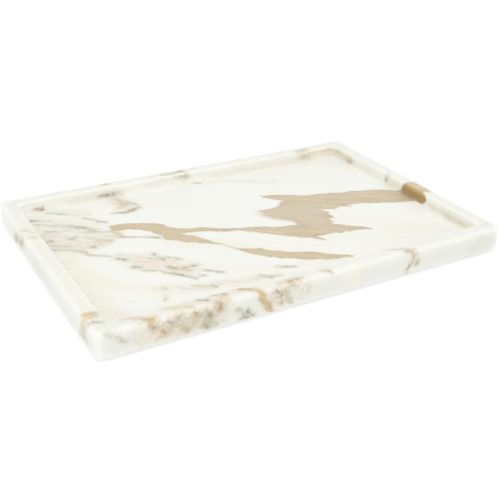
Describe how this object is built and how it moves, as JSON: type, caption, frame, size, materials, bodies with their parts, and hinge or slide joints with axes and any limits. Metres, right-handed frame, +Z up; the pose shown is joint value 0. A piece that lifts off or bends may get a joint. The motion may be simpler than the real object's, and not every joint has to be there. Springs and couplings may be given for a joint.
{
  "type": "dresser vanity tray",
  "caption": "Rectangular veined stone tray with a shallow milled recess, for bottles and jewellery on a dresser, standing on low rubber feet.",
  "frame": {"origin": "middle of the tray's outline on the surface that it stands on", "axes": "+X along the long side to the right end, +Y across to the back, +Z up out of the recess"},
  "size_m": [0.3, 0.2, 0.0198],
  "materials": {
    "veined_stone": "polished, white to cream with tan, gold and brown veins",
    "moulded_rubber": "matt, moulded"
  },
  "bodies": {
    "root": {"stone_tray": "veined_stone", "rubber_foot_front_left": "moulded_rubber", "rubber_foot_front_right": "moulded_rubber", "rubber_foot_back_left": "moulded_rubber", "rubber_foot_back_right": "moulded_rubber"}
  },
  "joints": []
}
